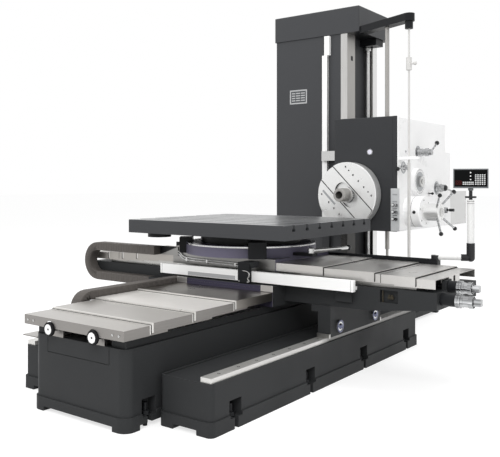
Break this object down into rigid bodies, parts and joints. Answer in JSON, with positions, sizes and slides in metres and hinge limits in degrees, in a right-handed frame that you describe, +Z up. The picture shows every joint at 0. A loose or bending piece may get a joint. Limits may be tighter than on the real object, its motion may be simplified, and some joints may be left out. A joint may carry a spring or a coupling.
{
  "type": "horizontal boring machine",
  "caption": "Horizontal boring and milling machine: bed with telescopic covers, cross slide with rotary table, column and lifting headstock with faceplate, boring spindle and controls.",
  "frame": {"origin": "on the floor, on the bed's centre line under the middle of the saddle at rest", "axes": "+X to the operator side, +Y along the bed towards the column, +Z up"},
  "size_m": [2.9579, 4.568, 2.735],
  "materials": {
    "bed_paint": "dark grey paint on castings, satin",
    "column_paint": "grey paint on column and cap, satin",
    "white_paint": "white paint, semi-gloss",
    "ground_steel": "ground guideway steel",
    "cover_steel": "brushed stainless sheet",
    "table_iron": "machined cast iron, ground on top",
    "turntable_paint": "dark blue-grey paint",
    "bright_steel": "turned bright steel",
    "black_steel": "blackened steel",
    "scale_white": "pale coated scale housing",
    "chain_plastic": "dark nylon chain",
    "black_plastic": "black moulded plastic",
    "pale_tube": "pale coated tube",
    "display_plastic": "grey moulded housing",
    "buffer_rubber": "black rubber"
  },
  "bodies": {
    "base": {"main_bed": "bed_paint", "bed_guideways": "ground_steel", "left_support_bed": "bed_paint", "right_support_bed": "bed_paint", "support_rails": "ground_steel", "levelling_bolts": "black_steel", "column_pedestal": "bed_paint", "column": "column_paint", "column_guideways": "ground_steel", "column_cap": "column_paint", "vertical_scale": "scale_white", "shaft_supports": "black_steel", "limit_rod": "bright_steel", "bed_covers": "cover_steel", "cover_buffers": "buffer_rubber", "bed_cable_chain": "chain_plastic"},
    "saddle": {"saddle": "bed_paint", "saddle_legs": "bed_paint", "saddle_wipers": "bright_steel", "saddle_covers": "cover_steel", "cross_guideways": "ground_steel", "cross_scale": "scale_white", "rear_cable_tray": "black_steel", "cross_cable_chain": "chain_plastic"},
    "cross_slide": {"cross_slide": "bed_paint", "turntable_base": "turntable_paint", "slide_covers": "cover_steel", "scale_reader": "black_steel"},
    "headstock": {"headstock": "column_paint", "side_housing": "white_paint", "switch_panel": "display_plastic"},
    "elevating_screw": {"elevating_screw": "bright_steel"},
    "feed_shaft": {"feed_shaft": "bright_steel"},
    "front_cover_2": {"front_cover_2": "cover_steel"},
    "front_cover_3": {"front_cover_3": "cover_steel"},
    "rear_cover_2": {"rear_cover_2": "cover_steel"},
    "front_rollers": {"front_rollers": "bright_steel"},
    "rear_rollers": {"rear_rollers": "bright_steel"},
    "crank_lower": {"crank_lower": "bright_steel"},
    "crank_upper": {"crank_upper": "bright_steel"},
    "right_cover_2": {"right_cover_2": "cover_steel"},
    "right_cover_3": {"right_cover_3": "cover_steel"},
    "left_cover_2": {"left_cover_2": "cover_steel"},
    "left_cover_3": {"left_cover_3": "cover_steel"},
    "dro_arm": {"dro_arm": "pale_tube"},
    "dro_head": {"dro_head": "display_plastic"},
    "rotary_table": {"rotary_table": "table_iron"},
    "table_clamp_lever": {"table_clamp_lever": "bright_steel"},
    "faceplate": {"faceplate": "bright_steel"},
    "facing_slide": {"facing_slide": "bright_steel"},
    "boring_spindle": {"boring_spindle": "bright_steel"},
    "capstan": {"capstan": "bright_steel"},
    "dial": {"dial": "bright_steel"},
    "lever_1": {"lever_1": "bright_steel"},
    "lever_2": {"lever_2": "bright_steel"},
    "lever_3": {"lever_3": "bright_steel"},
    "hand_crank": {"hand_crank": "bright_steel"},
    "selector_1": {"selector_1": "black_plastic"},
    "selector_2": {"selector_2": "black_plastic"},
    "selector_3": {"selector_3": "black_plastic"}
  },
  "joints": [
    {"name": "saddle_slide", "type": "slide", "parent": "base", "child": "saddle", "axis": [0, 1, 0], "range_m": [-0.7, 0.26], "deforming": ["bed_cable_chain"]},
    {"name": "cross_slide_move", "type": "slide", "parent": "saddle", "child": "cross_slide", "axis": [1, 0, 0], "range_m": [-0.38, 0.5], "deforming": ["cross_cable_chain"]},
    {"name": "table_turn", "type": "hinge", "parent": "cross_slide", "child": "rotary_table", "pos_m": [-0.105, 0, 0.8], "axis": [0, 0, 1], "continuous": true},
    {"name": "headstock_lift", "type": "slide", "parent": "base", "child": "headstock", "axis": [0, 0, 1], "range_m": [-0.08, 0.68]},
    {"name": "spindle_spin", "type": "hinge", "parent": "headstock", "child": "faceplate", "pos_m": [0, 1.181, 1.096], "axis": [0, 1, 0], "continuous": true},
    {"name": "facing_move", "type": "slide", "parent": "faceplate", "child": "facing_slide", "axis": [0.7071, 0, -0.7071], "range_m": [-0.05, 0.05]},
    {"name": "boring_feed", "type": "slide", "parent": "faceplate", "child": "boring_spindle", "axis": [0, -1, 0], "range_m": [0, 0.5]},
    {"name": "feed_shaft_turn", "type": "hinge", "parent": "base", "child": "feed_shaft", "pos_m": [0.247, 1.44, 1], "axis": [0, 0, 1], "continuous": true},
    {"name": "lower_hand_shaft", "type": "hinge", "parent": "saddle", "child": "crank_lower", "pos_m": [1.4, -0.25, 0.56], "axis": [1, 0, 0], "continuous": true},
    {"name": "upper_hand_shaft", "type": "hinge", "parent": "saddle", "child": "crank_upper", "pos_m": [1.4, -0.138, 0.616], "axis": [1, 0, 0], "continuous": true},
    {"name": "display_arm_swing", "type": "hinge", "parent": "saddle", "child": "dro_arm", "pos_m": [1.087, 0.362, 0.7], "axis": [0, 0, 1], "range_deg": [-35, 35]},
    {"name": "display_swivel", "type": "hinge", "parent": "dro_arm", "child": "dro_head", "pos_m": [1.285, 0.454, 1.16], "axis": [0, 0, 1], "range_deg": [-60, 60]},
    {"name": "clamp_lever_swing", "type": "hinge", "parent": "cross_slide", "child": "table_clamp_lever", "pos_m": [0.444, -0.1, 0.75], "axis": [0, 0, 1], "range_deg": [-10, 20]},
    {"name": "capstan_turn", "type": "hinge", "parent": "headstock", "child": "capstan", "pos_m": [0.62, 1.505, 0.958], "axis": [1, 0, 0], "continuous": true},
    {"name": "dial_turn", "type": "hinge", "parent": "headstock", "child": "dial", "pos_m": [0.43, 1.643, 1.205], "axis": [1, 0, 0], "continuous": true},
    {"name": "lever_1_shift", "type": "hinge", "parent": "headstock", "child": "lever_1", "pos_m": [0.45, 1.696, 1.453], "axis": [1, 0, 0], "range_deg": [-25, 25]},
    {"name": "lever_2_shift", "type": "hinge", "parent": "headstock", "child": "lever_2", "pos_m": [0.43, 1.4, 1.32], "axis": [1, 0, 0], "range_deg": [-25, 25]},
    {"name": "lever_3_shift", "type": "hinge", "parent": "headstock", "child": "lever_3", "pos_m": [0.45, 2.113, 1.149], "axis": [1, 0, 0], "range_deg": [-10, 30]},
    {"name": "hand_crank_turn", "type": "hinge", "parent": "headstock", "child": "hand_crank", "pos_m": [0.44, 2.22, 0.946], "axis": [1, 0, 0], "continuous": true},
    {"name": "selector_1_turn", "type": "hinge", "parent": "headstock", "child": "selector_1", "pos_m": [0.404, 1.27, 0.904], "axis": [0, 1, 0], "range_deg": [-45, 45]},
    {"name": "selector_2_turn", "type": "hinge", "parent": "headstock", "child": "selector_2", "pos_m": [0.404, 1.27, 0.96], "axis": [0, 1, 0], "range_deg": [-45, 45]},
    {"name": "selector_3_turn", "type": "hinge", "parent": "headstock", "child": "selector_3", "pos_m": [0.404, 1.27, 1.016], "axis": [0, 1, 0], "range_deg": [-45, 45]},
    {"name": "front_cover_2_slide", "type": "slide", "parent": "base", "child": "front_cover_2", "axis": [0, 1, 0], "range_m": [-0.1645, 0.0611]},
    {"name": "front_cover_3_slide", "type": "slide", "parent": "base", "child": "front_cover_3", "axis": [0, 1, 0], "range_m": [-0.455, 0.169]},
    {"name": "rear_cover_2_slide", "type": "slide", "parent": "base", "child": "rear_cover_2", "axis": [0, 1, 0], "range_m": [-0.35, 0.13]},
    {"name": "right_cover_2_slide", "type": "slide", "parent": "saddle", "child": "right_cover_2", "axis": [1, 0, 0], "range_m": [-0.076, 0.1]},
    {"name": "right_cover_3_slide", "type": "slide", "parent": "saddle", "child": "right_cover_3", "axis": [1, 0, 0], "range_m": [-0.247, 0.325]},
    {"name": "left_cover_2_slide", "type": "slide", "parent": "saddle", "child": "left_cover_2", "axis": [1, 0, 0], "range_m": [-0.12667, 0.16667]},
    {"name": "left_cover_3_slide", "type": "slide", "parent": "saddle", "child": "left_cover_3", "axis": [1, 0, 0], "range_m": [-0.25333, 0.33333]},
    {"name": "front_rollers_roll", "type": "hinge", "parent": "saddle", "child": "front_rollers", "pos_m": [0.676, -0.2335, 0.3343], "axis": [1, 0, 0], "range_deg": [-252.5, 679.79]},
    {"name": "rear_rollers_roll", "type": "hinge", "parent": "saddle", "child": "rear_rollers", "pos_m": [0.676, 0.2335, 0.3343], "axis": [1, 0, 0], "range_deg": [-252.5, 679.79]},
    {"name": "elevating_screw_turn", "type": "hinge", "parent": "base", "child": "elevating_screw", "pos_m": [-0.195, 1.955, 1], "axis": [0, 0, 1], "range_deg": [-2880.01, 24480.01]}
  ],
  "couplings": [
    {"joint": "front_cover_2_slide", "follows": "saddle_slide", "ratio": 0.235},
    {"joint": "front_cover_3_slide", "follows": "saddle_slide", "ratio": 0.65},
    {"joint": "rear_cover_2_slide", "follows": "saddle_slide", "ratio": 0.5},
    {"joint": "right_cover_2_slide", "follows": "cross_slide_move", "ratio": 0.2},
    {"joint": "right_cover_3_slide", "follows": "cross_slide_move", "ratio": 0.65},
    {"joint": "left_cover_2_slide", "follows": "cross_slide_move", "ratio": 0.33333},
    {"joint": "left_cover_3_slide", "follows": "cross_slide_move", "ratio": 0.66667},
    {"joint": "front_rollers_roll", "follows": "saddle_slide", "rad_per_m": -16.949},
    {"joint": "rear_rollers_roll", "follows": "saddle_slide", "rad_per_m": -16.949},
    {"joint": "elevating_screw_turn", "follows": "headstock_lift", "rad_per_m": 628.32}
  ]
}
